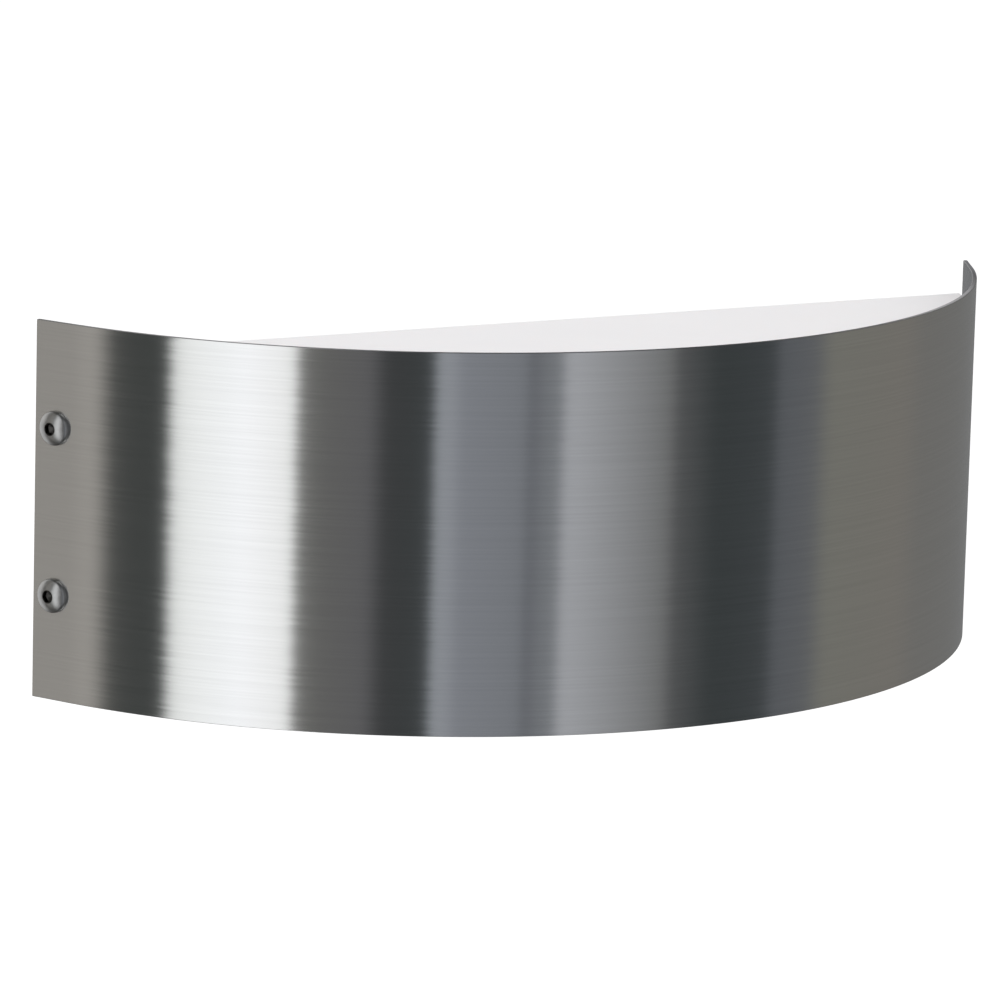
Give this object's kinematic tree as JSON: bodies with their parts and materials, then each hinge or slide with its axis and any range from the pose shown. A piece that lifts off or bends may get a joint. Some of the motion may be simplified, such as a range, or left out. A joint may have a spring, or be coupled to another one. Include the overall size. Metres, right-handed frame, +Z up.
{
  "type": "led wall light",
  "caption": "Half-round wall light: a curved brushed steel shield round a cast wall base, with opal plates recessed above and below, over LED boards on a folded channel.",
  "frame": {"origin": "the middle of the face that lies on the wall, which is also the middle of the four slots for the wall screws and of the cable entry", "axes": "+X right along the wall and the width, +Y into the wall, so the front points to -Y, +Z up"},
  "size_m": [0.3, 0.103, 0.105],
  "materials": {
    "brushed_stainless": "brushed along the width",
    "stainless_screws": "turned and passivated",
    "cast_aluminium": "die-cast, tumbled",
    "foam_rubber": "closed-cell foam",
    "grommet_rubber": "moulded",
    "sheet_aluminium": "mill finish",
    "zinc_screws": "bright zinc",
    "opal_plastic": "fine satin",
    "seal_rubber": "extruded",
    "white_board": "white solder mask on an aluminium core",
    "led_phosphor": "cast silicone",
    "connector_plastic": "moulded",
    "driver_plastic": "moulded",
    "terminal_plastic": "moulded, slightly clear",
    "clamp_brass": "turned",
    "tinned_copper": "tinned",
    "brown_insulation": "extruded",
    "blue_insulation": "extruded",
    "green_insulation": "extruded",
    "white_insulation": "extruded"
  },
  "bodies": {
    "root": {"shield": "brushed_stainless", "shield_screws": "stainless_screws", "wall_base": "cast_aluminium", "wall_gasket": "foam_rubber", "cable_grommet": "grommet_rubber", "led_carrier": "sheet_aluminium", "carrier_screws": "zinc_screws", "upper_diffuser": "opal_plastic", "lower_diffuser": "opal_plastic", "upper_seal": "seal_rubber", "lower_seal": "seal_rubber", "diffuser_screws": "zinc_screws", "upper_led_board": "white_board", "lower_led_board": "white_board", "upper_led_chips": "led_phosphor", "lower_led_chips": "led_phosphor", "board_screws": "zinc_screws", "board_connectors": "connector_plastic", "driver_case": "driver_plastic", "driver_cover": "driver_plastic", "driver_screws": "zinc_screws", "terminal_block": "terminal_plastic", "terminal_clamps": "clamp_brass", "terminal_screws": "zinc_screws", "earth_screw": "clamp_brass", "earth_washer": "zinc_screws", "earth_tag": "tinned_copper", "live_lead": "brown_insulation", "neutral_lead": "blue_insulation", "earth_lead": "green_insulation", "upper_board_leads": "white_insulation", "lower_board_leads": "white_insulation"}
  },
  "joints": []
}
